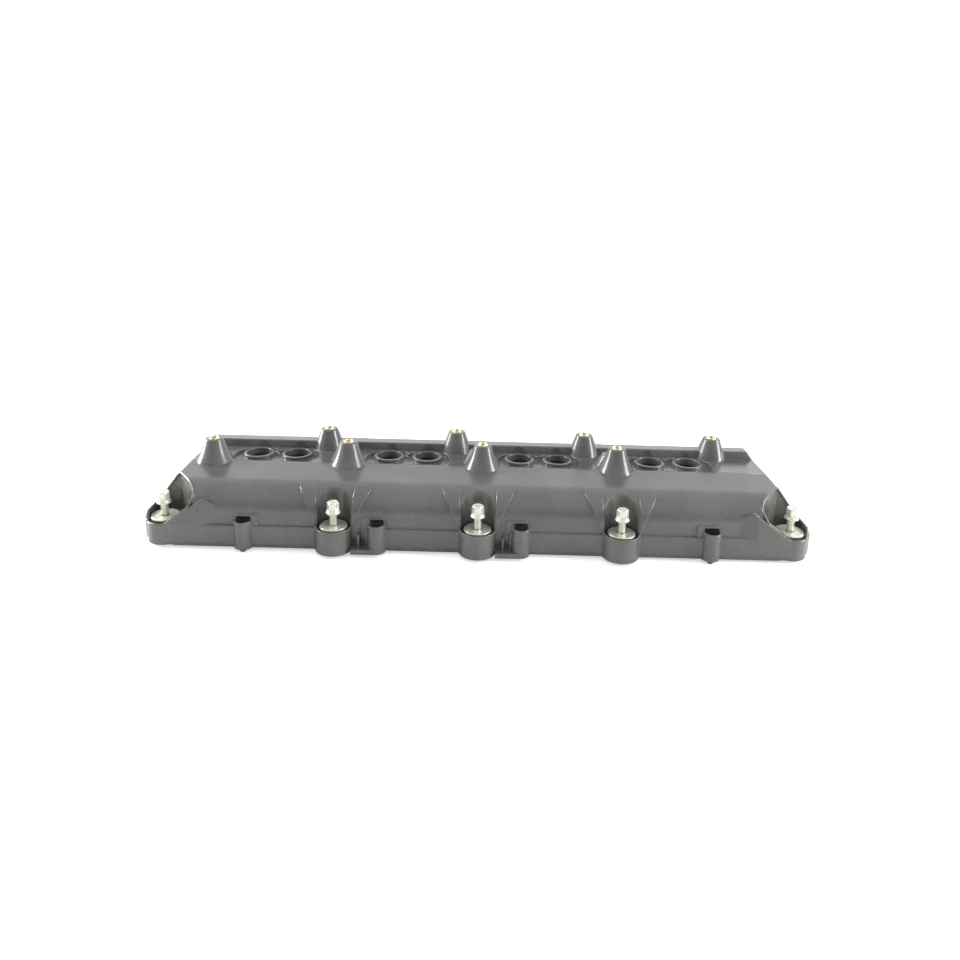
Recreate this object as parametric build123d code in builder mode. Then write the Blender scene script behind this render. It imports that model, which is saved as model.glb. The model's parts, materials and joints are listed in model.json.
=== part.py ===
from build123d import *
import os

# Engine valve cover: a moulded plastic cover for one bank of a twin-plug
# four-cylinder head, with its gaskets, captive bolts and threaded inserts.
# Millimetres. X runs along the bank, Y across it, Z up. The origin is at the
# middle of the cover, on the surface that its locating pins stand on.

# Driving dimensions
BORE_PITCH = 113.3        # from one cylinder to the next
CYLINDERS = 4
PLUG_SPACING = 33.1       # between the two plug holes of a cylinder
PLUG_SHIFT = -5.3         # plug pair centre, from the cylinder grid
FRONT_BOSS_SHIFT = -54.0  # front coil boss, from the cylinder grid
BACK_BOSS_SHIFT = 36.0    # back coil boss, from the cylinder grid
BOSS_Y = 18.4             # coil bosses in front of and behind the plug row

# Heights
SEAL_Z = 2.0              # free face of the gasket, above the pin tips
RAIL_BOTTOM = 3.0
RAIL_TOP = 21.0
POCKET_FLOOR = 18.0
MID_RIM = 22.6            # top of a middle bolt's lobe
END_RIM = 19.8            # top of an end bolt's lobe
PLATEAU_Z = 53.0
RIDGE_Z = 60.0
FRONT_BOSS_TOP = 72.3
BACK_BOSS_TOP = 71.0

# Rail and walls
RAIL_LENGTH = 537.0
RAIL_WIDTH = 156.0
RAIL_CORNER = 22.0
RAIL_REBATE = 1.0         # how far the foot of the rail is set back
REBATE_HEIGHT = 2.6
RAIL_WALL = 6.8           # from the rail's face to the cavity
WALL = 3.0

# Cross-section of the roof
WALL_FOOT_Y = 75.3
SHOULDER_Y = 71.5
SHOULDER_Z = 49.6
BACK_SHOULDER_Y = 67.0
BACK_SHOULDER_Z = 42.0
SHOULDER_ROUND = 22.0
CREST_Y = 21.2
CREST_WIDTH = 2.4
CREST_RISE = 0.5
RIDGE_FRONT_Y = 14.4
RIDGE_BACK_Y = 25.2
HIP_TOP_X = 243.2         # where the sloping ends meet the plateau
HIP_FOOT_X = 267.0        # where they meet the rail
SECTION_FOOT = 15.0
HALF_DEPTH = 100.0        # more than half of the cover's width

# Facets that spread up the wall from both sides of a middle bolt
FACET_PROUD = 1.6
FACET_BLEND_Y = 44.0
FACET_ROUND = 0.8
FACET_OUTLINE = [(14.6, RAIL_BOTTOM), (14.6, 51.5), (30.0, 51.5), (22.0, 39.0), (15.2, RAIL_TOP), (15.2, RAIL_BOTTOM)]

# Bolts, sleeves and isolators
MID_BOLT_Y = 75.7
END_BOLT_X = 250.2
END_BOLT_Y = 64.4
MID_LOBE_R = 14.4
END_LOBE_R = 13.8
MID_POCKET_R = 13.0
POCKET_DRAFT = 1.5        # growth of a middle pocket's radius over its height
POCKET_HEIGHT = 40.0
END_POCKET_R = 12.2
END_POCKET = [(224.8, 70.6), (225.1, 66.0), (244.6, 43.6), (261.6, 43.6), (261.6, 66.0), (239.0, 71.0)]
POCKET_EDGE_ROUND = 1.0
BOLT_R = 3.0
NECK_R = 2.5
RUNNING_GAP = 0.05
HEAD_UNDER = 33.2         # underside of the bolt's flange, tip on the ground
HEAD_FLANGE_R = 5.7
HEAD_FLANGE = 2.6
HEAD_TOP = 42.8
HEX_ACROSS_FLATS = 8.4
SLEEVE_TOP = 23.2
SLEEVE_BOTTOM = 2.6
SLEEVE_DISC = 1.2
SLEEVE_R = 5.8
SLEEVE_BORE_R = 4.5
SLEEVE_LIP_R = 3.4
DISC_R = 10.9
GROMMET_R = 11.3
GROMMET_BOTTOM = 5.4
LOBE_HOLE_R = 8.0
RETAINER_R = 4.1
RETAINER_BOTTOM = 15.3
RETAINER_HEIGHT = 4.0
NECK_SLACK = 0.5

# Cheeks: the walls in front of the end pockets, which slope down to the end lobes
CHEEK_X = 204.0           # where a cheek leaves the wall
CHEEK_TIP = (216.5, 41.0)
CHEEK_FOOT_X = 247.0
CHEEK_INNER_Y = 70.6
CHEEK_LEAN = 9.0

# Plug towers, seals and the pans round the plug holes
PLUG_HOLE_R = 10.3
RING_R = 13.2
RING_HEIGHT = 3.0
TOWER_R = 14.8
TOWER_BORE_R = 11.2
TOWER_BOTTOM = 9.0
SEAL_R = 13.0
SEAL_BORE_R = 10.5
SEAL_HEIGHT = 7.0
PAN_DEPTH = 2.0
PAN_R = 20.0              # arcs of a pan about its plug holes
PAN_Y = -5.6
PAN_FRONT_Y = -18.4

# Coil bosses and their inserts
FRONT_BASE_R = 15.2
BACK_BASE_R = 13.0
BOSS_WAIST_R = 9.7
BOSS_WAIST_Z = 64.0
BOSS_TOP_R = 7.15
BOSS_ROOT = 3.0           # how far a boss reaches into the plateau
SKIRT_R = 12.0
SKIRT_REACH = 12.0
SKIRT_HEIGHT = 13.0
SKIRT_SLOPE = 30.0
INSERT_R = 4.2
INSERT_BORE_R = 2.5
INSERT_LENGTH = 12.0
INSERT_PROUD = 0.8

# Clip sockets, with a pad behind each, and the pins
SOCKET_X = 184.5
HIGH_SOCKET_Y = 75.8
HIGH_SOCKET_R = 7.5
HIGH_SOCKET_TOP = 25.5
LOW_SOCKET_X = 34.0       # from the middle bolt on its left
LOW_SOCKET_Y = 78.4
LOW_SOCKET_R = 7.2
LOW_SOCKET_TOP = 26.0
SOCKET_HOLE_R = 6.0
SOCKET_FLOOR = 12.0
SOCKET_ROOF = 28.6
PAD_SHIFT = 3.0           # from the socket, towards the middle or the bolt
PAD_WIDTH = 17.0
PAD_TOP = 29.6
PAD_Y = 76.4
PIN_R = 2.4
PIN_Y = 78.4
PIN_TOP = 11.0

# Recess in the rail between a middle bolt's lobe and the low socket beside it
RECESS = (14.2, 25.5)     # from the bolt
RECESS_BACK_Y = 74.5
RECESS_FLOOR = 6.8
RECESS_TOP = [(25.5, 31.5), (23.5, 30.4), (17.8, 26.2), (14.2, 22.6)]
WEB_FRONT_Y = 85.8
RIB_X = 20.0
RIB_WIDTH = 1.6
RIB_FRONT_Y = 80.5
RIB_TOP = 17.0

# Gasket
GASKET_INSET = 2.3
GASKET_WIDTH = 3.1
GROOVE_DEPTH = 2.6
GASKET_CLEAR_R = 9.4      # keeps the gasket inboard of each bolt hole

SIDES = (-1, 1)
CORNERS = [(end, side) for side in SIDES for end in SIDES]
GRID_X = [(i - (CYLINDERS - 1) / 2) * BORE_PITCH for i in range(CYLINDERS)]
PAIR_X = [x + PLUG_SHIFT for x in GRID_X]
PLUGS = [(x + side * PLUG_SPACING / 2, 0) for x in PAIR_X for side in SIDES]
FRONT_BOSSES = [(x + FRONT_BOSS_SHIFT, -BOSS_Y) for x in GRID_X]
BACK_BOSSES = [(x + BACK_BOSS_SHIFT, BOSS_Y) for x in GRID_X]
BOSSES = FRONT_BOSSES + BACK_BOSSES
MID_BOLT_X = [-BORE_PITCH, 0, BORE_PITCH]
MID_BOLTS = [(x, side * MID_BOLT_Y) for side in SIDES for x in MID_BOLT_X]
END_BOLTS = [(end * END_BOLT_X, side * END_BOLT_Y) for end, side in CORNERS]
BOLTS = sorted(MID_BOLTS + END_BOLTS, key=lambda spot: (spot[1] > 0, spot[0]))
WEB_X = MID_BOLT_X[:2]
HIGH_SOCKETS = [(end * SOCKET_X, side * HIGH_SOCKET_Y) for end, side in CORNERS]
LOW_SOCKETS = [(x + LOW_SOCKET_X, side * LOW_SOCKET_Y) for side in SIDES for x in WEB_X]
PAD_X = [end * (SOCKET_X - PAD_SHIFT) for end in SIDES] + [x + LOW_SOCKET_X - PAD_SHIFT for x in WEB_X]
PINS = [(end * SOCKET_X, side * PIN_Y) for end, side in CORNERS]


def level(height):
    """The horizontal plane at a height."""
    return Plane.XY.offset(height)


def corners(section, *spots):
    """The corners of a flat section at these places."""
    return [v for v in section.vertices() if any(abs(v.X - x) + abs(v.Y - y) < 0.01 for x, y in spots)]


def boss_top(y):
    """The height of the coil bosses in the front or the back row."""
    return FRONT_BOSS_TOP if y < 0 else BACK_BOSS_TOP


def roof_section(inset):
    """Section across the cover, moved in by a wall's thickness for the cavity."""
    plateau = PLATEAU_Z - (PAN_DEPTH if inset else 0)
    front = (-SHOULDER_Y, SHOULDER_Z)
    back = (BACK_SHOULDER_Y, BACK_SHOULDER_Z)
    crest = (-CREST_Y, plateau + CREST_RISE)
    ridge_front = (RIDGE_FRONT_Y, RIDGE_Z)
    ridge_back = (RIDGE_BACK_Y, RIDGE_Z)
    with BuildSketch(Plane.YZ) as section:
        Polygon(
            (-WALL_FOOT_Y, SECTION_FOOT - inset),
            (-WALL_FOOT_Y, RAIL_TOP),
            front,
            crest,
            (CREST_WIDTH - CREST_Y, plateau),
            (RIDGE_FRONT_Y - 1, plateau),
            ridge_front,
            ridge_back,
            back,
            (WALL_FOOT_Y, RAIL_TOP),
            (WALL_FOOT_Y, SECTION_FOOT - inset),
            align=None,
        )
        fillet(corners(section, front, back), SHOULDER_ROUND)
        if inset:
            offset(amount=-inset, kind=Kind.INTERSECTION)
        else:
            fillet(corners(section, ridge_back), 4.0)
            fillet(corners(section, ridge_front), 1.2)
            fillet(corners(section, crest), 2.0)
    return section.sketch


def roof_block(inset):
    """The roof between its two sloping ends, moved in by a wall's thickness for the cavity."""
    section = roof_section(inset)
    rise = RIDGE_Z + 10 - RAIL_TOP
    lean = rise * (HIP_FOOT_X - HIP_TOP_X) / (PLATEAU_Z - RAIL_TOP)
    foot_x = HIP_FOOT_X - inset * 1.25
    with BuildPart() as block:
        extrude(section, amount=RAIL_LENGTH / 2, both=True)
        with BuildSketch(Plane.XZ):
            Polygon(
                (-foot_x, 0),
                (-foot_x, RAIL_TOP),
                (lean - foot_x, RAIL_TOP + rise),
                (foot_x - lean, RAIL_TOP + rise),
                (foot_x, RAIL_TOP),
                (foot_x, 0),
                align=None,
            )
        extrude(amount=HALF_DEPTH, both=True, mode=Mode.INTERSECT)
        if not inset:
            ends = [f for f in block.faces() if abs(f.normal_at().X) > 0.5 and 0.3 < f.normal_at().Z < 0.9]
            rims = [e for f in ends for e in f.edges() if e.center().Z > RAIL_TOP + 1]
            fillet(rims, 1.6)
        with BuildSketch(level(0)):
            RectangleRounded(2 * foot_x, 2 * (WALL_FOOT_Y - inset), RAIL_CORNER - WALL - inset)
        extrude(amount=RIDGE_Z, mode=Mode.INTERSECT)
    return block.part


def corner_pockets(grow):
    """Plan of the open pockets round the four end bolts, grown by a wall's thickness."""
    with BuildSketch() as plan:
        Polygon(*END_POCKET, align=None)
        fillet(plan.vertices().filter_by(lambda v: v.X < 245), 2.0)
        with Locations((END_BOLT_X, END_BOLT_Y)):
            Circle(END_POCKET_R)
        if grow:
            offset(amount=grow, kind=Kind.ARC)
        mirror(about=Plane.YZ)
        mirror(about=Plane.XZ)
    return plan.sketch


def rail():
    """The rail, set back along its foot, with its bolt lobes."""
    with BuildPart() as frame:
        with BuildSketch(level(RAIL_BOTTOM)):
            RectangleRounded(RAIL_LENGTH, RAIL_WIDTH, RAIL_CORNER)
            offset(amount=-RAIL_REBATE)
        extrude(amount=REBATE_HEIGHT)
        with BuildSketch(level(RAIL_BOTTOM + REBATE_HEIGHT)):
            RectangleRounded(RAIL_LENGTH, RAIL_WIDTH, RAIL_CORNER)
        extrude(amount=RAIL_TOP - RAIL_BOTTOM - REBATE_HEIGHT)
        chamfer(frame.faces().sort_by(Axis.Z)[-1].edges(), 0.8)
        with BuildSketch(level(RAIL_BOTTOM)) as lobes:
            Rectangle(RAIL_LENGTH - 80, RAIL_WIDTH - 2 * RAIL_REBATE)
            with Locations(*MID_BOLTS):
                Circle(MID_LOBE_R)
            fillet([v for v in lobes.vertices() if abs(v.X) < 200], 4.0)
            Rectangle(RAIL_LENGTH - 70, RAIL_WIDTH - 30, mode=Mode.SUBTRACT)
            with Locations(*END_BOLTS):
                Circle(END_LOBE_R)
        extrude(amount=END_RIM - RAIL_BOTTOM)
        with BuildSketch(level(RAIL_BOTTOM)):
            with Locations(*MID_BOLTS):
                Circle(MID_LOBE_R)
        extrude(amount=MID_RIM - RAIL_BOTTOM)
    return frame.part


def facets():
    """Facets on the wall, narrow at each middle lobe and wide where they meet the roof."""
    wall_y = WALL_FOOT_Y + FACET_PROUD
    front = (-SHOULDER_Y - 1.3, SHOULDER_Z + 0.6)
    back = (BACK_SHOULDER_Y + 1.3, BACK_SHOULDER_Z + 0.8)
    roof_slope = (PLATEAU_Z - SHOULDER_Z) / (SHOULDER_Y - CREST_Y)
    back_slope = (RIDGE_Z - BACK_SHOULDER_Z) / (BACK_SHOULDER_Y - RIDGE_BACK_Y)
    front_blend = SHOULDER_Z + roof_slope * (SHOULDER_Y - FACET_BLEND_Y) - 0.3
    back_blend = BACK_SHOULDER_Z + back_slope * (BACK_SHOULDER_Y - FACET_BLEND_Y) - 0.3
    with BuildPart() as spread:
        with BuildSketch(Plane.YZ) as section:
            Polygon(
                (-wall_y, RAIL_BOTTOM + REBATE_HEIGHT),
                (-wall_y, RAIL_TOP),
                front,
                (-FACET_BLEND_Y, front_blend),
                (FACET_BLEND_Y, back_blend),
                back,
                (wall_y, RAIL_TOP),
                (wall_y, RAIL_BOTTOM + REBATE_HEIGHT),
                align=None,
            )
            fillet(corners(section, front, back), SHOULDER_ROUND)
        extrude(amount=BORE_PITCH * 1.5, both=True)
        with BuildSketch(Plane.XZ):
            for x in MID_BOLT_X:
                for side in SIDES:
                    Polygon(*[(x + side * across, up) for across, up in FACET_OUTLINE], align=None)
        extrude(amount=HALF_DEPTH, both=True, mode=Mode.INTERSECT)
        flanks = [f for f in spread.faces() if abs(f.normal_at().Y) < 0.01 and 0.3 < abs(f.normal_at().X) < 0.99]
        rising = [e for f in flanks for e in f.edges() if abs(e.tangent_at(0.5).Y) < 0.9]
        fillet([e for e in rising if RAIL_TOP < e.center().Z < SHOULDER_Z - 4], FACET_ROUND)
    return spread.part


def coil_boss(top, base_r, skirt):
    """A flared boss for a coil screw, with a skirt towards its partner if it has one."""
    root = PLATEAU_Z - BOSS_ROOT
    with BuildPart() as boss:
        with BuildSketch(Plane.XZ) as half:
            with BuildLine():
                Polyline((0, top), (0, root), (base_r, root), (base_r, PLATEAU_Z))
                ThreePointArc((base_r, PLATEAU_Z), (BOSS_WAIST_R, BOSS_WAIST_Z), (BOSS_TOP_R, top))
                Line((BOSS_TOP_R, top), (0, top))
            make_face()
            fillet(corners(half, (BOSS_TOP_R, top)), 0.8)
        revolve(axis=Axis.Z)
        if skirt:
            partner = Vector(BACK_BOSS_SHIFT - BORE_PITCH - FRONT_BOSS_SHIFT, 2 * BOSS_Y)
            reach = partner.normalized() * SKIRT_REACH
            with BuildSketch(level(root)):
                Circle(SKIRT_R)
                with Locations((reach.X, reach.Y)):
                    Circle(SKIRT_R)
                make_hull()
            extrude(amount=SKIRT_HEIGHT, taper=SKIRT_SLOPE)
    return boss.part


def end_slopes():
    """The space over the sloping tops of the cheeks and the end lobes."""
    tip_x, tip_z = CHEEK_TIP
    far_x = RAIL_LENGTH / 2 + 10
    with BuildPart() as space:
        with BuildSketch(Plane.XZ):
            for end in SIDES:
                Polygon(
                    (end * tip_x, tip_z),
                    (end * CHEEK_FOOT_X, END_RIM),
                    (end * far_x, END_RIM),
                    (end * far_x, RIDGE_Z + 10),
                    (end * tip_x, RIDGE_Z + 10),
                    align=None,
                )
        extrude(amount=HALF_DEPTH, both=True)
        with BuildSketch(level(0)):
            Rectangle(2 * far_x, 2 * CHEEK_INNER_Y)
        extrude(amount=RIDGE_Z + 10, mode=Mode.SUBTRACT)
    return space.part


def end_cheeks():
    """Walls in front of the end pockets that carry the rail's face upwards."""
    half_width = RAIL_WIDTH / 2
    with BuildSketch() as plan:
        Polygon(
            (CHEEK_X, CHEEK_INNER_Y),
            (CHEEK_FOOT_X + 4, CHEEK_INNER_Y),
            (CHEEK_FOOT_X + 4, half_width),
            (CHEEK_X + 16, half_width),
            (CHEEK_X, WALL_FOOT_Y - 0.4),
            align=None,
        )
    with BuildPart() as cheeks:
        with BuildSketch(level(RAIL_TOP - 5)):
            add(plan.sketch)
        extrude(amount=5)
        with BuildSketch(level(RAIL_TOP)):
            add(plan.sketch)
        extrude(amount=CHEEK_TIP[1] - RAIL_TOP, taper=CHEEK_LEAN)
        mirror(about=Plane.YZ)
        mirror(about=Plane.XZ)
    return cheeks.part


def pans():
    """The space in the shallow pans round each pair of plug holes."""
    width = PAN_R - PAN_FRONT_Y
    with BuildPart() as space:
        with BuildSketch(level(PLATEAU_Z - PAN_DEPTH)):
            with Locations(*[(x, PAN_Y) for x, y in PLUGS]):
                Circle(PAN_R)
            with Locations(*[(x, PAN_Y - PAN_R / 2) for x in PAIR_X]):
                Rectangle(PLUG_SPACING, PAN_R)
            with Locations((0, PAN_FRONT_Y + width / 2)):
                Rectangle(RAIL_LENGTH, width, mode=Mode.INTERSECT)
        extrude(amount=PAN_DEPTH + 12)
    return space.part


def outer_body():
    """The cover's outside, before its pockets are made."""
    frame = rail()
    block = roof_block(0)
    facet = facets()
    cheeks = end_cheeks()
    hollows = pans()
    first_boss = coil_boss(FRONT_BOSS_TOP, FRONT_BASE_R, False)
    front_boss = coil_boss(FRONT_BOSS_TOP, FRONT_BASE_R, True)
    back_boss = coil_boss(BACK_BOSS_TOP, BACK_BASE_R, False)
    with BuildPart() as body:
        add(frame)
        add(block)
        add(facet)
        add(cheeks)
        add(hollows, mode=Mode.SUBTRACT)
        with Locations(*[Location((x, y, 0)) for x, y in FRONT_BOSSES[:1]]):
            add(first_boss)
        with Locations(*[Location((x, y, 0)) for x, y in FRONT_BOSSES[1:]]):
            add(front_boss)
        with Locations(*[Location((x, y, 0)) for x, y in BACK_BOSSES]):
            add(back_boss)
    return body.part


def recesses():
    """The recesses in the rail beside the middle lobes."""
    near, far = RECESS
    with BuildPart() as space:
        with BuildSketch(Plane.XZ):
            for x in WEB_X:
                outline = [(near, RECESS_FLOOR), (far, RECESS_FLOOR), *RECESS_TOP]
                Polygon(*[(x + across, up) for across, up in outline], align=None)
        extrude(amount=HALF_DEPTH, both=True)
        with BuildSketch(level(0)):
            Rectangle(RAIL_LENGTH, 2 * RECESS_BACK_Y)
            with Locations(*MID_BOLTS):
                Circle(MID_LOBE_R)
        extrude(amount=RIDGE_Z, mode=Mode.SUBTRACT)
    return space.part


def socket_webs():
    """Floor plates and ribs that join each low socket to the lobe beside it."""
    near, far = RECESS
    with BuildPart() as webs:
        with BuildSketch(level(RAIL_BOTTOM)):
            with Locations(*[(x + (near + LOW_SOCKET_X) / 2, 0) for x in WEB_X]):
                Rectangle(LOW_SOCKET_X - near, 2 * WEB_FRONT_Y)
        extrude(amount=RECESS_FLOOR - RAIL_BOTTOM)
        with BuildSketch(level(RAIL_BOTTOM)):
            with Locations(*[(x + RIB_X, 0) for x in WEB_X]):
                Rectangle(RIB_WIDTH, 2 * RIB_FRONT_Y)
        extrude(amount=RIB_TOP - RAIL_BOTTOM)
        with BuildSketch(level(0)):
            Rectangle(RAIL_LENGTH, 2 * RECESS_BACK_Y - 1)
        extrude(amount=RIDGE_Z, mode=Mode.SUBTRACT)
    return webs.part


def sockets():
    """The clip sockets on the rail and the raised pads behind them."""
    with BuildPart() as group:
        with BuildSketch(level(RAIL_BOTTOM)):
            with Locations(*HIGH_SOCKETS):
                Circle(HIGH_SOCKET_R)
        extrude(amount=HIGH_SOCKET_TOP - RAIL_BOTTOM)
        with BuildSketch(level(RAIL_BOTTOM)):
            with Locations(*LOW_SOCKETS):
                Circle(LOW_SOCKET_R)
        extrude(amount=LOW_SOCKET_TOP - RAIL_BOTTOM)
        rims = group.edges().filter_by(GeomType.CIRCLE).filter_by(lambda e: e.center().Z > RAIL_TOP)
        fillet(rims, 0.5)
        with BuildSketch(level(RAIL_TOP - 1)):
            with Locations(*[(x, side * (PAD_Y - 2.5)) for x in PAD_X for side in SIDES]):
                Rectangle(PAD_WIDTH, 5)
        extrude(amount=PAD_TOP - RAIL_TOP + 1)
        chamfer(group.faces().filter_by(lambda f: abs(f.center().Z - PAD_TOP) < 0.01).edges(), 0.6)
    return group.part


def plug_rings():
    """Rounded lips round the plug holes, on the floor of each pan."""
    with BuildPart() as lips:
        with BuildSketch(level(PLATEAU_Z - PAN_DEPTH)):
            with Locations(*PLUGS):
                Circle(RING_R)
                Circle(PLUG_HOLE_R, mode=Mode.SUBTRACT)
        extrude(amount=RING_HEIGHT)
        fillet(lips.faces().group_by(Axis.Z)[-1].edges(), 0.8)
    return lips.part


def gasket_region():
    """The area that the gasket runs round: the rail, less its bolt lobes."""
    reach = 15.0
    size = 2 * (reach + GASKET_CLEAR_R)
    with BuildSketch() as region:
        RectangleRounded(RAIL_LENGTH - 2 * GASKET_INSET, RAIL_WIDTH - 2 * GASKET_INSET, RAIL_CORNER - GASKET_INSET)
        with Locations(*MID_BOLTS):
            Circle(GASKET_CLEAR_R, mode=Mode.SUBTRACT)
        with Locations(*[(end * (END_BOLT_X + reach), side * (END_BOLT_Y + reach)) for end, side in CORNERS]):
            RectangleRounded(size, size, GASKET_CLEAR_R, mode=Mode.SUBTRACT)
    return region.sketch


def gasket_loop(bottom, top):
    """A continuous bead along the rail that passes inboard of every bolt."""
    region = gasket_region()
    with BuildPart() as bead:
        with BuildSketch(level(bottom)):
            add(region)
            offset(region, amount=-GASKET_WIDTH, kind=Kind.ARC, mode=Mode.SUBTRACT)
        extrude(amount=top - bottom)
    return bead.part


def cavity():
    """The space under the cover, which bends round the pockets, towers and sockets."""
    block = roof_block(WALL)
    corner_walls = corner_pockets(WALL)
    mid_r = MID_POCKET_R + POCKET_DRAFT + WALL
    with BuildPart() as space:
        with BuildSketch(level(-1)):
            RectangleRounded(RAIL_LENGTH - 2 * RAIL_WALL, RAIL_WIDTH - 2 * RAIL_WALL, RAIL_CORNER - RAIL_WALL)
        extrude(amount=RAIL_TOP + 1)
        add(block)
        with BuildSketch(level(-2)):
            add(corner_walls)
            with Locations(*MID_BOLTS):
                Circle(mid_r)
            with Locations(*LOW_SOCKETS):
                Circle(LOW_SOCKET_R + 1.5)
            with Locations(*HIGH_SOCKETS):
                Circle(HIGH_SOCKET_R + 1.5)
        extrude(amount=RIDGE_Z, mode=Mode.SUBTRACT)
        with BuildSketch(level(TOWER_BOTTOM)):
            with Locations(*PLUGS):
                Circle(TOWER_R)
        extrude(amount=RIDGE_Z, mode=Mode.SUBTRACT)
    return space.part


def pocketed_body():
    """The cover's outside with its bolt pockets, sockets and recesses."""
    outside = outer_body()
    slopes = end_slopes()
    corner_plan = corner_pockets(0)
    hollows = recesses()
    webs = socket_webs()
    clips = sockets()
    with BuildPart() as body:
        add(outside)
        add(slopes, mode=Mode.SUBTRACT)
        with BuildSketch(level(POCKET_FLOOR)):
            add(corner_plan)
        extrude(amount=RIDGE_Z, mode=Mode.SUBTRACT)
        rims = [e for e in body.edges(Select.LAST) if e.center().Y < 0 and e.center().Z > 42]
        fillet([e for e in rims if abs(e.tangent_at(0.5).Z) < 0.99 and abs(e.center().X) < 238], POCKET_EDGE_ROUND)
        add(hollows, mode=Mode.SUBTRACT)
        for x, y in MID_BOLTS:
            with Locations((x, y, POCKET_FLOOR)):
                Cone(
                    MID_POCKET_R,
                    MID_POCKET_R + POCKET_DRAFT,
                    POCKET_HEIGHT,
                    align=(Align.CENTER, Align.CENTER, Align.MIN),
                    mode=Mode.SUBTRACT,
                )
        add(webs)
        add(clips)
        for x, y in MID_BOLTS:
            with Locations((x, y, POCKET_FLOOR)):
                Cylinder(MID_POCKET_R, 5, align=(Align.CENTER, Align.CENTER, Align.MIN), mode=Mode.SUBTRACT)
    return body.part


def cover_shell():
    """The moulded cover, with its pockets, cavity and holes."""
    outside = pocketed_body()
    inside = cavity()
    lips = plug_rings()
    groove = gasket_loop(SEAL_Z - 1, RAIL_BOTTOM + GROOVE_DEPTH)
    with BuildPart() as cover:
        add(outside)
        add(inside, mode=Mode.SUBTRACT)
        add(groove, mode=Mode.SUBTRACT)
        with BuildSketch(level(0)):
            with Locations(*PLUGS):
                Circle(TOWER_BORE_R)
        extrude(amount=PLATEAU_Z - PAN_DEPTH - WALL, mode=Mode.SUBTRACT)
        with BuildSketch(level(TOWER_BOTTOM - 1)):
            with Locations(*PLUGS):
                Circle(SEAL_R)
        extrude(amount=SEAL_HEIGHT + 1, mode=Mode.SUBTRACT)
        with BuildSketch(level(0)):
            with Locations(*PLUGS):
                Circle(PLUG_HOLE_R)
        extrude(amount=FRONT_BOSS_TOP, mode=Mode.SUBTRACT)
        add(lips)
        with BuildSketch(level(0)):
            with Locations(*BOLTS):
                Circle(LOBE_HOLE_R)
        extrude(amount=POCKET_FLOOR + 1, mode=Mode.SUBTRACT)
        for x, y in BOSSES:
            with BuildSketch(level(boss_top(y) - INSERT_LENGTH)):
                with Locations((x, y)):
                    Circle(INSERT_R)
            extrude(amount=INSERT_LENGTH + 1, mode=Mode.SUBTRACT)
        with BuildSketch(level(SOCKET_FLOOR)):
            with Locations(*HIGH_SOCKETS, *LOW_SOCKETS):
                Circle(SOCKET_HOLE_R)
        extrude(amount=SOCKET_ROOF - SOCKET_FLOOR, mode=Mode.SUBTRACT)
        with BuildSketch(level(0)):
            with Locations(*PINS):
                Circle(PIN_R)
        extrude(amount=PIN_TOP, mode=Mode.SUBTRACT)
    return cover.part


def locating_pins():
    """Dowels that stand in the rail and carry the cover's corners on the ground."""
    with BuildPart() as pins:
        with BuildSketch(level(0)):
            with Locations(*PINS):
                Circle(PIN_R)
        extrude(amount=PIN_TOP)
        chamfer(pins.edges().filter_by(GeomType.CIRCLE).group_by(Axis.Z)[0], 0.5)
    return pins.part


def plug_tube_seal(x, y):
    """A rubber seal in the foot of a plug tower, with a rounded lip."""
    lip = 0.8
    with BuildPart() as seal:
        with BuildSketch(Plane.XZ.offset(-y)):
            Polygon(
                (x + SEAL_BORE_R, TOWER_BOTTOM - 1),
                (x + SEAL_R, TOWER_BOTTOM - 1),
                (x + SEAL_R, TOWER_BOTTOM + SEAL_HEIGHT),
                (x + SEAL_BORE_R + lip, TOWER_BOTTOM + SEAL_HEIGHT),
                (x + SEAL_BORE_R, TOWER_BOTTOM + SEAL_HEIGHT - lip),
                align=None,
            )
        revolve(axis=Axis((x, y, 0), (0, 0, 1)))
    return seal.part


def coil_insert(x, y):
    """A brass threaded insert, slightly proud of its boss."""
    with BuildPart() as insert:
        with BuildSketch(level(boss_top(y) - INSERT_LENGTH)):
            with Locations((x, y)):
                Circle(INSERT_R)
                Circle(INSERT_BORE_R, mode=Mode.SUBTRACT)
        extrude(amount=INSERT_LENGTH + INSERT_PROUD)
        chamfer(insert.faces().sort_by(Axis.Z)[-1].edges(), 0.4)
    return insert.part


def isolator_grommet(x, y):
    """A rubber isolator: a collar on the pocket floor and a neck down the lobe."""
    with BuildPart() as grommet:
        with BuildSketch(level(GROMMET_BOTTOM)):
            with Locations((x, y)):
                Circle(LOBE_HOLE_R)
        extrude(amount=POCKET_FLOOR - GROMMET_BOTTOM)
        with BuildSketch(level(POCKET_FLOOR)):
            with Locations((x, y)):
                Circle(GROMMET_R)
        extrude(amount=SLEEVE_TOP - SLEEVE_DISC - POCKET_FLOOR)
        fillet(grommet.edges().filter_by(GeomType.CIRCLE).group_by(Axis.Z)[-1], 0.8)
        with BuildSketch(level(0)):
            with Locations((x, y)):
                Circle(SLEEVE_R)
        extrude(amount=SLEEVE_TOP, mode=Mode.SUBTRACT)
    return grommet.part


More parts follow.
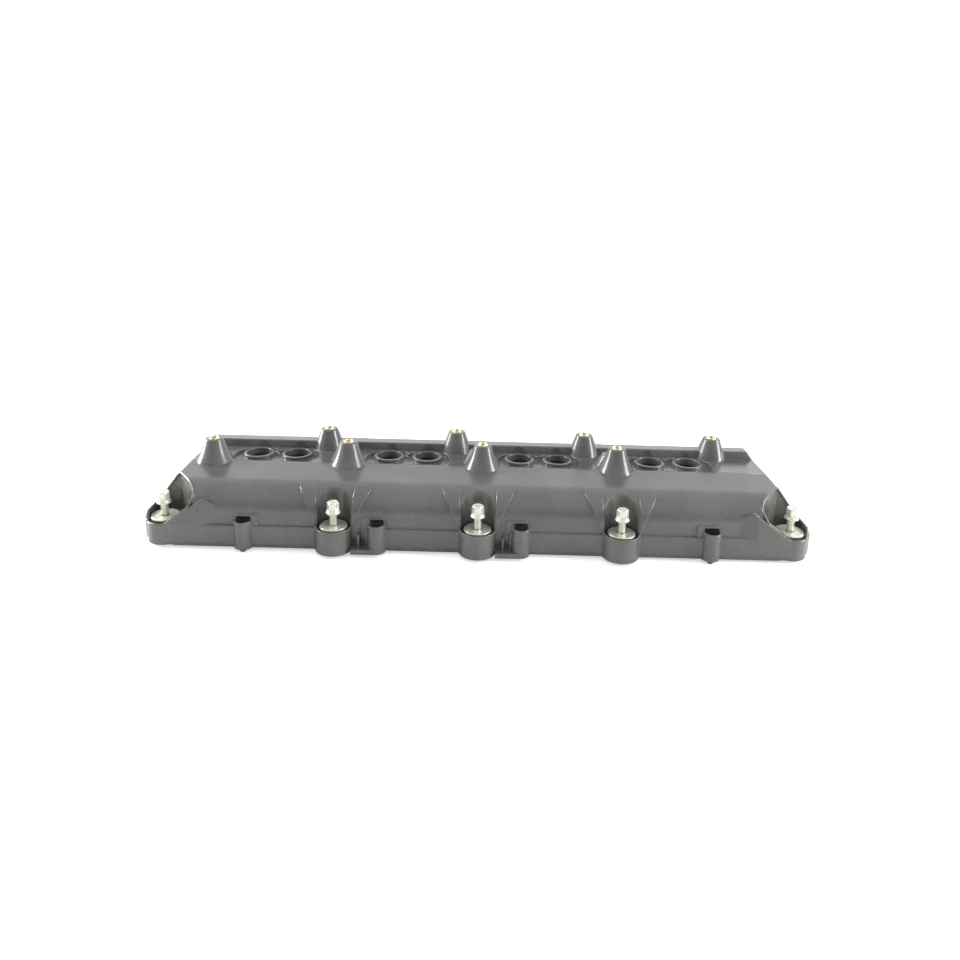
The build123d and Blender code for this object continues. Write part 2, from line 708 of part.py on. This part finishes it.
def bolt_sleeve(x, y):
    """A steel sleeve with a washer-like disc, and a lip that keeps the bolt captive."""
    with BuildPart() as sleeve:
        with BuildSketch(level(SLEEVE_BOTTOM)):
            with Locations((x, y)):
                Circle(SLEEVE_R)
        extrude(amount=SLEEVE_TOP - SLEEVE_DISC - SLEEVE_BOTTOM)
        with BuildSketch(level(SLEEVE_TOP - SLEEVE_DISC)):
            with Locations((x, y)):
                Circle(DISC_R)
        extrude(amount=SLEEVE_DISC)
        fillet(sleeve.edges().filter_by(GeomType.CIRCLE).group_by(Axis.Z)[-1], 0.5)
        with BuildSketch(level(SLEEVE_BOTTOM)):
            with Locations((x, y)):
                Circle(SLEEVE_BORE_R)
        extrude(amount=SLEEVE_TOP - SLEEVE_DISC - SLEEVE_BOTTOM, mode=Mode.SUBTRACT)
        with BuildSketch(level(SLEEVE_TOP - SLEEVE_DISC)):
            with Locations((x, y)):
                Circle(SLEEVE_LIP_R)
        extrude(amount=SLEEVE_DISC, mode=Mode.SUBTRACT)
    return sleeve.part


def bolt_retainer(x, y):
    """A plastic ring on the bolt's neck that slides inside the sleeve."""
    with BuildPart() as retainer:
        with BuildSketch(level(RETAINER_BOTTOM)):
            with Locations((x, y)):
                Circle(RETAINER_R)
                Circle(NECK_R + RUNNING_GAP, mode=Mode.SUBTRACT)
        extrude(amount=RETAINER_HEIGHT)
    return retainer.part


def captive_bolt(x, y):
    """A flanged hexagon bolt with a relieved neck for its retainer."""
    neck_foot = RETAINER_BOTTOM - NECK_SLACK
    neck_top = RETAINER_BOTTOM + RETAINER_HEIGHT + NECK_SLACK
    with BuildPart() as bolt:
        with BuildSketch(level(0)):
            with Locations((x, y)):
                Circle(BOLT_R)
        extrude(amount=neck_foot)
        chamfer(bolt.edges().filter_by(GeomType.CIRCLE).group_by(Axis.Z)[0], 0.8)
        with BuildSketch(level(neck_foot)):
            with Locations((x, y)):
                Circle(NECK_R)
        extrude(amount=neck_top - neck_foot)
        with BuildSketch(level(neck_top)):
            with Locations((x, y)):
                Circle(BOLT_R)
        extrude(amount=HEAD_UNDER - neck_top)
        with BuildSketch(level(HEAD_UNDER + HEAD_FLANGE)):
            with Locations((x, y)):
                RegularPolygon(HEX_ACROSS_FLATS / 2, 6, major_radius=False)
        extrude(amount=HEAD_TOP - HEAD_UNDER - HEAD_FLANGE)
        chamfer(bolt.faces().sort_by(Axis.Z)[-1].edges(), 0.5)
        with BuildSketch(level(HEAD_UNDER)):
            with Locations((x, y)):
                Circle(HEAD_FLANGE_R)
        extrude(amount=HEAD_FLANGE)
        rims = bolt.edges().filter_by(GeomType.CIRCLE).filter_by(lambda e: abs(e.radius - HEAD_FLANGE_R) < 0.01)
        fillet(rims, 0.8)
    return bolt.part


def write(part, name):
    """Label a finished piece and write it as its own file."""
    part.label = name
    export_step(part, f"parts/{name}.step")


if __name__ == "__main__":
    os.makedirs("parts", exist_ok=True)
    write(cover_shell(), "cover_shell")
    write(gasket_loop(SEAL_Z, RAIL_BOTTOM + GROOVE_DEPTH), "perimeter_gasket")
    write(locating_pins(), "locating_pins")
    for number, (x, y) in enumerate(PLUGS, 1):
        write(plug_tube_seal(x, y), f"plug_tube_seal_{number}")
    for number, (x, y) in enumerate(BOSSES, 1):
        write(coil_insert(x, y), f"coil_insert_{number}")
    for number, (x, y) in enumerate(BOLTS, 1):
        write(isolator_grommet(x, y), f"isolator_grommet_{number}")
        write(bolt_sleeve(x, y), f"bolt_sleeve_{number}")
        write(bolt_retainer(x, y), f"bolt_retainer_{number}")
        write(captive_bolt(x, y), f"captive_bolt_{number}")
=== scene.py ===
import json
import math

import bpy
from mathutils import Matrix, Vector
from mathutils.bvhtree import BVHTree


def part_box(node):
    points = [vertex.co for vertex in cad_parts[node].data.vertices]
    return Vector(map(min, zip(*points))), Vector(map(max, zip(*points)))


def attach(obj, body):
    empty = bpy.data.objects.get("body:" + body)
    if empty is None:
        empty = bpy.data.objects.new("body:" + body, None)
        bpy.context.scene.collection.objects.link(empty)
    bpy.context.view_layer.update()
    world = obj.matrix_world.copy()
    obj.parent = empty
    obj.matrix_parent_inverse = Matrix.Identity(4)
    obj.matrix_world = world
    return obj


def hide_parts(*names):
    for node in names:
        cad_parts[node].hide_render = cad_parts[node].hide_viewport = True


# The looks of an engine valve cover: moulded black nylon, zinc-plated captive
# bolts, brass inserts and rubber seals, on a white floor. Metres, Z up.

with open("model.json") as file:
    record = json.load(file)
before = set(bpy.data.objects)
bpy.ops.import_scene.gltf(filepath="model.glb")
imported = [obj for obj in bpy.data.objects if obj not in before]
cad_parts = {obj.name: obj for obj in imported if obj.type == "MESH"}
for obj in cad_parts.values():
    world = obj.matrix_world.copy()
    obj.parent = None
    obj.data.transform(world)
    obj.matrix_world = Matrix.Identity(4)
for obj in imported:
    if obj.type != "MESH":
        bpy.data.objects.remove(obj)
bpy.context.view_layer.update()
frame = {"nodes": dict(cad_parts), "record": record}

MM = 0.001

# Camera: place in metres, angles in degrees, lens and sensor in millimetres,
# shift in widths of the picture
CAMERA_PLACE = (0.0009, -0.63156, 0.29416)
CAMERA_PITCH = 14.0
CAMERA_YAW = -0.065
CAMERA_ROLL = 1.526
CAMERA_LENS = 28.829
CAMERA_SENSOR = 36.0
CAMERA_SHIFT = (-0.0039, -0.1195)
CAMERA_CLIP = (0.01, 80.0)

# Floor: half its width in metres, its look, and its glow where it is looked at
FLOOR_HALF = 30.0
FLOOR_WHITE = (0.9, 0.9, 0.9, 1)
FLOOR_ROUGH = 0.9
FLOOR_GLOW = 0.55

# Brightness of the room, what its back and left add and its front takes away,
# and how bright it is where the camera looks at it
ROOM = 0.88
ROOM_BACK = 0.9
ROOM_LEFT = 0.1
ROOM_FRONT = 0.6
ROOM_SEEN = 1.3

# Where these fade, from and to, by the x, y or z of the direction looked in
BACK_Y = (0.3, 0.85)
BACK_Z = (0.38, 0.56)
LEFT_X = (-0.9, 0.2)
FRONT_Y = (-0.95, -0.35)
FRONT_Z = (0.15, 0.75)

# Soft panels: name, place, width, height and power, all aimed at one point
PANELS = [
    ("panel_left", (-0.95, 0.15, 0.34), 0.3, 0.66, 12.0),
    ("panel_right", (0.95, -0.2, 0.34), 0.28, 0.66, 8.5),
]
PANEL_AIM = (0, 0, 0.04)

# Rounded edges in materials: samples, radii in metres, and the cosine at which
# wear begins
EDGE_SAMPLES = 8
NYLON_EDGE = 0.0009
METAL_EDGE = 0.0004
EDGE_START = 0.97

# Turned pieces: steps round a bolt and an insert, the angle in degrees from
# which an edge stays sharp, and the steepness of a thread's flanks
BOLT_STEPS = 72
INSERT_STEPS = 80
SHARP_ANGLE = 38
THREAD_SLOPE = 3.2

# Bolt, in millimetres from its tip, as the CAD bolt it stands for
BOLTS = 10
BOLT_R = 3.0
TIP_R = 0.6
THREAD_DEPTH = 0.42
THREAD_PITCH = 1.0
THREAD_START = 0.5
THREAD_TOP = 14.8
THREAD_RISE = 1.5            # from the tip, where the thread is at its full depth
THREAD_FADE = 0.8            # over this its depth fades out
THREAD_END = 0.3             # and it is gone so far below its top
THREAD_ROWS = 8              # rings in one turn
NECK_R = 2.5
NECK_TOP = 19.8
FLANGE_UNDER = 33.2
FLANGE_TOP = 35.8
FLANGE_R = 5.7
HEX_FLATS = 8.4
HEX_CORNER = 4.85
HEAD_TOP = 42.8

# Insert, in millimetres
INSERTS = 8
INSERT_R = 4.2
INSERT_BORE = 2.6
INSERT_THREAD = 0.35
INSERT_PITCH = 0.8
INSERT_LEAD = 0.5            # from its face down to the first thread
INSERT_PLAIN = 0.6           # how much shorter the thread is than the insert
INSERT_ROWS = 6              # rings in one turn
KNURLS = 20
KNURL_DEPTH = 0.22

# Rolled rims of the end pockets, in millimetres
END_BOLTS = (1, 5, 6, 10)
RIM_SHIFT = (3.0, 5.0)       # from the bolt to the middle the rim is traced from
RIM_NEAR = 10.5              # from that middle to where the tracing starts
RIM_FAR = 40                 # and to where it gives up
RIM_STRIDE = 0.1
RIM_BEAD = 1.25              # radius of the bead
RIM_SET = 0.5                # how far outside the edge its middle is
RIM_SINK = 0.45              # and how far below the surface
RIM_STEPS = 144
RIM_SMOOTH = 3
RIM_MIN = 0.0191             # metres; the pocket's floor is lower, its rim higher
RAY_TOP = 0.2                # metres; above everything


# ---------------------------------------------------------------- the picture

def put(name, data):
    """A new object in the scene."""
    thing = bpy.data.objects.new(name, data)
    bpy.context.scene.collection.objects.link(thing)
    return thing


def camera():
    """A camera in front of the cover, a little above it."""
    data = bpy.data.cameras.new("camera")
    data.lens = CAMERA_LENS
    data.sensor_width = CAMERA_SENSOR
    data.shift_x, data.shift_y = CAMERA_SHIFT
    data.clip_start, data.clip_end = CAMERA_CLIP
    eye = put("camera", data)
    down = Matrix.Rotation(math.radians(90 - CAMERA_PITCH), 4, "X")
    turn = Matrix.Rotation(math.radians(CAMERA_YAW), 4, "Z")
    roll = Matrix.Rotation(math.radians(CAMERA_ROLL), 4, "Z")
    eye.matrix_world = Matrix.Translation(Vector(CAMERA_PLACE)) @ turn @ down @ roll
    bpy.context.scene.camera = eye


class Nodes:
    """Short ways to add and join the nodes of one material or world."""

    def __init__(self, tree):
        self.tree = tree

    def add(self, kind, **sockets):
        node = self.tree.nodes.new(kind)
        for name, value in sockets.items():
            self.feed(node.inputs[name.replace("_", " ")], value)
        return node

    def feed(self, socket, value):
        if isinstance(value, bpy.types.NodeSocket):
            self.tree.links.new(value, socket)
        else:
            socket.default_value = value

    def math(self, operation, first, second):
        node = self.tree.nodes.new("ShaderNodeMath")
        node.operation = operation
        self.feed(node.inputs[0], first)
        self.feed(node.inputs[1], second)
        return node.outputs[0]

    def plus(self, first, second):
        return self.math("ADD", first, second)

    def minus(self, first, second):
        return self.math("SUBTRACT", first, second)

    def times(self, first, second):
        return self.math("MULTIPLY", first, second)

    def spread(self, value, low, high, to_low=0.0, to_high=1.0):
        """Maps low..high to to_low..to_high, held at both ends."""
        node = self.tree.nodes.new("ShaderNodeMapRange")
        node.interpolation_type = "SMOOTHSTEP"
        for index, number in enumerate((value, low, high, to_low, to_high)):
            self.feed(node.inputs[index], number)
        return node.outputs[0]

    def fade(self, value, low, high):
        """Goes from 1 at low to 0 at high."""
        return self.spread(value, low, high, 1.0, 0.0)

    def blend(self, factor, first, second):
        """Mixes two colours."""
        node = self.tree.nodes.new("ShaderNodeMix")
        node.data_type = "RGBA"
        self.feed(node.inputs[0], factor)
        self.feed(node.inputs[6], first)
        self.feed(node.inputs[7], second)
        return node.outputs[2]

    def noise(self, place, scale, detail, roughness=0.5):
        node = self.add("ShaderNodeTexNoise", Vector=place, Scale=scale,
                        Detail=detail, Roughness=roughness)
        return node.outputs["Fac"]

    def seen(self):
        """1 where the camera looks straight at it, 0 for light and reflections."""
        return self.add("ShaderNodeLightPath").outputs["Is Camera Ray"]


def floor():
    """A wide white floor that meets the white surroundings."""
    low, high = -FLOOR_HALF, FLOOR_HALF
    mesh = bpy.data.meshes.new("floor")
    points = [(low, low, 0), (high, low, 0), (high, high, 0), (low, high, 0)]
    mesh.from_pydata(points, [], [(0, 1, 2, 3)])
    plane = put("floor", mesh)
    material = bpy.data.materials.new("floor_white")
    material.use_nodes = True
    shader = material.node_tree.nodes["Principled BSDF"]
    shader.inputs["Base Color"].default_value = FLOOR_WHITE
    shader.inputs["Roughness"].default_value = FLOOR_ROUGH
    shader.inputs["Emission Color"].default_value = (1, 1, 1, 1)
    nodes = Nodes(material.node_tree)
    glow = nodes.times(nodes.seen(), FLOOR_GLOW)
    nodes.feed(shader.inputs["Emission Strength"], glow)
    mesh.materials.append(material)


def surroundings():
    """A white room: brighter low behind and at the left, darker low in front,
    plain white where the camera looks at it."""
    world = bpy.data.worlds.new("studio")
    bpy.context.scene.world = world
    world.use_nodes = True
    tree = world.node_tree
    nodes = Nodes(tree)
    way = nodes.add("ShaderNodeTexCoord").outputs["Generated"]
    x, y, z = nodes.add("ShaderNodeSeparateXYZ", Vector=way).outputs
    front = nodes.times(nodes.fade(y, *FRONT_Y), nodes.fade(z, *FRONT_Z))
    back = nodes.times(nodes.spread(y, *BACK_Y), nodes.fade(z, *BACK_Z))
    left = nodes.fade(x, *LEFT_X)
    level = nodes.plus(ROOM, nodes.times(back, ROOM_BACK))
    level = nodes.plus(level, nodes.times(left, ROOM_LEFT))
    level = nodes.minus(level, nodes.times(front, ROOM_FRONT))
    level = nodes.spread(nodes.seen(), 0.0, 1.0, level, ROOM_SEEN)
    background = tree.nodes["Background"]
    background.inputs["Color"].default_value = (1, 1, 1, 1)
    tree.links.new(level, background.inputs["Strength"])


def lights():
    """Soft panels at both ends of the cover."""
    for name, place, width, height, power in PANELS:
        data = bpy.data.lights.new(name, "AREA")
        data.energy = power
        data.shape = "RECTANGLE"
        data.size = width
        data.size_y = height
        lamp = put(name, data)
        lamp.location = place
        aim = Vector(PANEL_AIM) - Vector(place)
        lamp.rotation_mode = "QUATERNION"
        lamp.rotation_quaternion = aim.to_track_quat("-Z", "Y")


# ---------------------------------------------------------------- materials

def finish(name, build, **values):
    """A Principled material: fixed values straight on the shader, the rest built
    from nodes."""
    material = bpy.data.materials.new(name)
    material.use_nodes = True
    shader = material.node_tree.nodes["Principled BSDF"]
    for socket, value in values.items():
        shader.inputs[socket.replace("_", " ")].default_value = value
    nodes = Nodes(material.node_tree)
    place = nodes.add("ShaderNodeTexCoord").outputs["Object"]
    build(nodes, shader, place)
    return material


def relief(nodes, shader, height, depth, rounded=None):
    """Surface bump, its depth in metres, over softly rounded edges."""
    bump = nodes.add("ShaderNodeBump", Height=height, Distance=depth, Strength=1.0)
    if rounded:
        nodes.feed(bump.inputs["Normal"], rounded)
    nodes.feed(shader.inputs["Normal"], bump.outputs["Normal"])


def rounding(nodes, radius):
    """The surface's direction with its sharp edges rounded."""
    bevel = nodes.add("ShaderNodeBevel", Radius=radius)
    bevel.samples = EDGE_SAMPLES
    return bevel.outputs["Normal"]


def wear(nodes, rounded, full):
    """How much a spot is on an edge, from 0 to 1: 1 where the cosine between the
    rounded and the real direction is down to full."""
    facing = nodes.tree.nodes.new("ShaderNodeVectorMath")
    facing.operation = "DOT_PRODUCT"
    real = nodes.add("ShaderNodeNewGeometry").outputs["Normal"]
    nodes.feed(facing.inputs[0], rounded)
    nodes.feed(facing.inputs[1], real)
    return nodes.spread(facing.outputs["Value"], EDGE_START, full)


def moulded_nylon(nodes, shader, place):
    """Glass-filled nylon: flow mottling, fine spark-eroded grain, polished edges
    and a little dust."""
    dark, dull = (0.094, 0.094, 0.091, 1), (0.117, 0.115, 0.109, 1)
    dust, worn = (0.18, 0.18, 0.17, 1), (0.3, 0.3, 0.28, 1)
    flow = nodes.noise(place, scale=26.0, detail=4.0, roughness=0.6)
    fleck = nodes.noise(place, scale=900.0, detail=2.0)
    grain = nodes.noise(place, scale=1700.0, detail=3.0, roughness=0.6)
    swell = nodes.noise(place, scale=180.0, detail=3.0)
    rounded = rounding(nodes, NYLON_EDGE)
    edge = wear(nodes, rounded, full=0.72)
    tint = nodes.blend(nodes.spread(flow, 0.3, 0.7), dark, dull)
    tint = nodes.blend(nodes.spread(fleck, 0.56, 0.75, to_high=0.35), tint, dust)
    tint = nodes.blend(nodes.times(edge, 0.6), tint, worn)
    nodes.feed(shader.inputs["Base Color"], tint)
    uneven = nodes.plus(flow, nodes.times(swell, 0.5))
    rough = nodes.spread(uneven, 0.5, 1.0, to_low=0.2, to_high=0.31)
    rough = nodes.minus(rough, nodes.times(edge, 0.08))
    nodes.feed(shader.inputs["Roughness"], rough)
    height = nodes.plus(nodes.times(grain, 0.6), nodes.times(swell, 0.9))
    relief(nodes, shader, height, depth=0.00001, rounded=rounded)


def rubber(nodes, shader, place):
    """Moulded rubber: matt, faintly dusty, with a soft uneven skin."""
    cloud = nodes.noise(place, scale=60.0, detail=4.0, roughness=0.6)
    skin = nodes.noise(place, scale=1400.0, detail=3.0)
    base = tuple(shader.inputs["Base Color"].default_value)
    pale = (base[0] * 1.9 + 0.01, base[1] * 1.9 + 0.01, base[2] * 1.8 + 0.008, 1)
    tint = nodes.blend(nodes.spread(cloud, 0.4, 0.75, to_high=0.8), base, pale)
    nodes.feed(shader.inputs["Base Color"], tint)
    rough = nodes.spread(cloud, 0.3, 0.7, to_low=0.45, to_high=0.68)
    nodes.feed(shader.inputs["Roughness"], rough)
    relief(nodes, shader, skin, depth=0.00003)


def plated_steel(nodes, shader, place):
    """Clear zinc plating: slightly yellow-green, brushed by handling, brighter on
    its edges."""
    pale, dull = (0.8, 0.81, 0.73, 1), (0.69, 0.71, 0.6, 1)
    bright = (0.88, 0.89, 0.81, 1)
    cloud = nodes.noise(place, scale=220.0, detail=4.0, roughness=0.6)
    turned = nodes.noise(place, scale=3000.0, detail=2.0)
    rounded = rounding(nodes, METAL_EDGE)
    edge = wear(nodes, rounded, full=0.75)
    tint = nodes.blend(nodes.spread(cloud, 0.35, 0.7), pale, dull)
    nodes.feed(shader.inputs["Base Color"], nodes.blend(edge, tint, bright))
    rough = nodes.spread(cloud, 0.3, 0.75, to_low=0.3, to_high=0.48)
    nodes.feed(shader.inputs["Roughness"], rough)
    relief(nodes, shader, turned, depth=0.000008, rounded=rounded)


def cut_brass(nodes, shader, place):
    """Machined brass: warm and pale where it is cut, darker in its pores."""
    pale, dull = (0.84, 0.74, 0.5, 1), (0.62, 0.5, 0.27, 1)
    bright = (0.95, 0.87, 0.64, 1)
    cloud = nodes.noise(place, scale=400.0, detail=4.0, roughness=0.6)
    lines = nodes.noise(place, scale=5000.0, detail=2.0)
    edge = wear(nodes, rounding(nodes, METAL_EDGE), full=0.75)
    tint = nodes.blend(nodes.spread(cloud, 0.35, 0.7), pale, dull)
    nodes.feed(shader.inputs["Base Color"], nodes.blend(edge, tint, bright))
    rough = nodes.spread(cloud, 0.3, 0.7, to_low=0.22, to_high=0.4)
    nodes.feed(shader.inputs["Roughness"], rough)
    relief(nodes, shader, lines, depth=0.000008)


def pale_nylon(nodes, shader, place):
    """Natural nylon: milky, a little uneven."""
    milky, dull = (0.72, 0.7, 0.62, 1), (0.6, 0.57, 0.48, 1)
    cloud = nodes.noise(place, scale=300.0, detail=3.0)
    tint = nodes.blend(nodes.spread(cloud, 0.3, 0.7), milky, dull)
    nodes.feed(shader.inputs["Base Color"], tint)
    rough = nodes.spread(cloud, 0.3, 0.7, to_low=0.35, to_high=0.5)
    nodes.feed(shader.inputs["Roughness"], rough)
    relief(nodes, shader, cloud, depth=0.00003)


FINISHES = {
    "cover_plastic": finish(
        "cover_plastic", moulded_nylon, IOR=1.54, Specular_IOR_Level=0.6),
    "gasket_rubber": finish(
        "gasket_rubber", rubber, Base_Color=(0.02, 0.02, 0.02, 1)),
    "isolator_rubber": finish(
        "isolator_rubber", rubber, Base_Color=(0.035, 0.036, 0.016, 1)),
    "seal_rubber": finish(
        "seal_rubber", rubber, Base_Color=(0.022, 0.022, 0.022, 1)),
    "insert_brass": finish("insert_brass", cut_brass, Metallic=1.0),
    "bolt_zinc": finish("bolt_zinc", plated_steel, Metallic=0.75),
    "sleeve_zinc": finish("sleeve_zinc", plated_steel, Metallic=0.75),
    "pin_steel": finish("pin_steel", moulded_nylon, IOR=1.5),
    "retainer_nylon": finish(
        "retainer_nylon", pale_nylon, Subsurface_Weight=0.1,
        Subsurface_Radius=(0.001, 0.001, 0.001)),
}


def dress():
    """Gives every CAD node the finish of its material slot."""
    for row in frame["record"]["subparts"]:
        node = frame["nodes"][row["node"]]
        node.data.materials.clear()
        node.data.materials.append(FINISHES[row["material_slot"]])


# ---------------------------------------------------------------- pieces

def turned_mesh(name, rings, steps, closed):
    """A mesh from rings of (height, radius at an angle), millimetres in, metres
    out. closed joins the last ring to the first; otherwise both ends are capped."""
    points = []
    for height, radius in rings:
        for step in range(steps):
            angle = 2 * math.pi * step / steps
            reach = radius(angle)
            x, y = reach * math.cos(angle), reach * math.sin(angle)
            points.append((x * MM, y * MM, height * MM))
    faces = []
    for ring in range(len(rings) if closed else len(rings) - 1):
        low = ring * steps
        high = (ring + 1) % len(rings) * steps
        for step in range(steps):
            after = (step + 1) % steps
            faces.append((low + step, low + after, high + after, high + step))
    if not closed:
        faces.append(tuple(reversed(range(steps))))
        faces.append(tuple(range((len(rings) - 1) * steps, len(rings) * steps)))
    mesh = bpy.data.meshes.new(name)
    mesh.from_pydata(points, [], faces)
    mesh.validate()
    for face in mesh.polygons:
        face.use_smooth = True
    mesh.set_sharp_from_angle(angle=math.radians(SHARP_ANGLE))
    return mesh


def round_at(radius):
    """A circle's radius at any angle."""
    return lambda angle: radius


def thread_at(height, root, depth, pitch, run):
    """The radius of a helical thread at a height, its depth scaled by run."""
    def radius(angle):
        turn = (height / pitch - angle / (2 * math.pi)) % 1.0
        crest = THREAD_SLOPE / 2 - THREAD_SLOPE * abs(turn - 0.5)
        return root + depth * min(1.0, max(0.0, crest)) * run
    return radius


def hexagon_at(flats, limit):
    """A hexagon's radius at an angle, with its corners cut at limit."""
    def radius(angle):
        off = (angle % (math.pi / 3)) - math.pi / 6
        return min(flats / 2 / math.cos(off), limit)
    return radius


def knurl_at(reach):
    """The radius of a knurled ring at an angle."""
    def radius(angle):
        return reach - KNURL_DEPTH * (0.5 + 0.5 * math.cos(KNURLS * angle)) ** 2
    return radius


def bolt_rings():
    """The rings of the bolt, from its tip to the dish in its head."""
    root = BOLT_R - THREAD_DEPTH
    rings = [(0.0, round_at(TIP_R)), (0.0, round_at(root - 0.55))]
    for row in range(int((THREAD_TOP - THREAD_START) / THREAD_PITCH * THREAD_ROWS)):
        height = THREAD_START + row * THREAD_PITCH / THREAD_ROWS
        left = max(0.0, (THREAD_TOP - THREAD_END - height) / THREAD_FADE)
        run = min(1.0, height / THREAD_RISE, left)
        thread = thread_at(height, root, THREAD_DEPTH, THREAD_PITCH, run)
        rings.append((height, thread))
    return rings + [
        (THREAD_TOP, round_at(root)),
        (THREAD_TOP + 0.2, round_at(NECK_R)),
        (NECK_TOP - 0.2, round_at(NECK_R)),
        (NECK_TOP + 0.2, round_at(BOLT_R - 0.1)),
        (NECK_TOP + 0.4, round_at(BOLT_R)),
        (FLANGE_UNDER - 0.4, round_at(BOLT_R)),
        (FLANGE_UNDER, round_at(BOLT_R + 0.3)),
        (FLANGE_UNDER, round_at(FLANGE_R - 0.5)),
        (FLANGE_UNDER + 0.2, round_at(FLANGE_R - 0.12)),
        (FLANGE_UNDER + 0.55, round_at(FLANGE_R)),
        (FLANGE_UNDER + 1.05, round_at(FLANGE_R)),
        (FLANGE_UNDER + 1.45, round_at(FLANGE_R - 0.2)),
        (FLANGE_TOP - 0.35, round_at(FLANGE_R - 0.75)),
        (FLANGE_TOP, hexagon_at(HEX_FLATS + 0.3, 4.95)),
        (FLANGE_TOP + 0.3, hexagon_at(HEX_FLATS, HEX_CORNER)),
        (HEAD_TOP - 1.3, hexagon_at(HEX_FLATS, HEX_CORNER)),
        (HEAD_TOP - 0.7, hexagon_at(HEX_FLATS, 4.55)),
        (HEAD_TOP - 0.25, hexagon_at(HEX_FLATS - 0.1, 4.15)),
        (HEAD_TOP, round_at(3.75)),
        (HEAD_TOP, round_at(2.9)),
        (HEAD_TOP - 0.35, round_at(2.5)),
        (HEAD_TOP - 0.4, round_at(0.8)),
    ]


def insert_rings(length):
    """The rings of a knurled insert, up its outside and down its threaded bore."""
    root = INSERT_BORE + INSERT_THREAD
    rings = [
        (0.0, knurl_at(INSERT_R)),
        (length - 0.5, knurl_at(INSERT_R)),
        (length - 0.1, knurl_at(INSERT_R - 0.25)),
        (length, round_at(INSERT_R - 0.55)),
        (length, round_at(INSERT_BORE + 0.55)),
    ]
    for row in range(int((length - INSERT_PLAIN) / INSERT_PITCH * INSERT_ROWS)):
        height = length - INSERT_LEAD - row * INSERT_PITCH / INSERT_ROWS
        run = min(1.0, length - height)
        thread = thread_at(height, root, -INSERT_THREAD, INSERT_PITCH, run)
        rings.append((height, thread))
    rings.append((0.0, round_at(root)))
    return rings


def foot(node):
    """The middle of a node's box in plan, at its lowest point."""
    low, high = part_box(node)
    return (low[0] + high[0]) / 2, (low[1] + high[1]) / 2, low[2]


def place_piece(name, mesh, slot, body, node):
    """Puts a copy of a turned mesh where a CAD node is, riding on its body."""
    if not mesh.materials:
        mesh.materials.append(FINISHES[slot])
    piece = put(name, mesh)
    piece.location = foot(node)
    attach(piece, body)
    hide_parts(node)


def bolts():
    """Threaded bolts with flanged hexagon heads, one for each captive bolt."""
    mesh = turned_mesh("threaded_bolt", bolt_rings(), BOLT_STEPS, closed=False)
    for index in range(1, BOLTS + 1):
        place_piece(f"threaded_bolt_{index}", mesh, "bolt_zinc",
                    f"bolt_{index}", f"captive_bolt_{index}")


def inserts():
    """Knurled inserts with a threaded bore, one for each coil boss."""
    low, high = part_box("coil_insert_1")
    rings = insert_rings((high[2] - low[2]) / MM)
    mesh = turned_mesh("threaded_insert", rings, INSERT_STEPS, closed=True)
    for index in range(1, INSERTS + 1):
        place_piece(f"threaded_insert_{index}", mesh, "insert_brass",
                    "root", f"coil_insert_{index}")


def surface_under(tree, x, y):
    """Height of the shell straight below a point, or 0 where there is none."""
    hit = tree.ray_cast(Vector((x, y, RAY_TOP)), Vector((0, 0, -1)))[0]
    return hit.z if hit else 0.0


def rim_path(tree, spot):
    """The edge of an end pocket, traced outwards from its middle and smoothed."""
    def at(angle, far):
        return spot[0] + math.cos(angle) * far, spot[1] + math.sin(angle) * far

    angles = [2 * math.pi * step / RIM_STEPS for step in range(RIM_STEPS)]
    reach, height = [], []
    for angle in angles:
        far = RIM_NEAR * MM
        while far < RIM_FAR * MM and surface_under(tree, *at(angle, far)) < RIM_MIN:
            far += RIM_STRIDE * MM
        far += RIM_SET * MM
        reach.append(far)
        height.append(surface_under(tree, *at(angle, far)))
    path = []
    for step, angle in enumerate(angles):
        shifts = range(-RIM_SMOOTH, RIM_SMOOTH + 1)
        near = [(step + shift) % RIM_STEPS for shift in shifts]
        far = sum(reach[i] for i in near) / len(near)
        z = sum(height[i] for i in near) / len(near)
        path.append((*at(angle, far), z - RIM_SINK * MM))
    return path


def pocket_rims():
    """A rolled bead round the edge of each end pocket."""
    shell = frame["nodes"]["cover_shell"].data
    points = [vertex.co for vertex in shell.vertices]
    tree = BVHTree.FromPolygons(points, [face.vertices for face in shell.polygons])
    for number, bolt in enumerate(END_BOLTS, start=1):
        x, y, _ = foot(f"captive_bolt_{bolt}")
        spot = (x - math.copysign(RIM_SHIFT[0], x) * MM,
                y - math.copysign(RIM_SHIFT[1], y) * MM)
        data = bpy.data.curves.new(f"pocket_rim_{number}", "CURVE")
        data.dimensions = "3D"
        line = data.splines.new("NURBS")
        path = rim_path(tree, spot)
        line.points.add(len(path) - 1)
        for point, place in zip(line.points, path):
            point.co = (*place, 1)
        line.order_u = 4
        line.use_cyclic_u = True
        data.bevel_depth = RIM_BEAD * MM
        data.bevel_resolution = 4
        data.materials.append(FINISHES["cover_plastic"])
        rim = put(data.name, data)
        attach(rim, "root")


camera()
floor()
surroundings()
lights()
dress()
bolts()
inserts()
pocket_rims()
bpy.context.scene.view_settings.view_transform = "Standard"
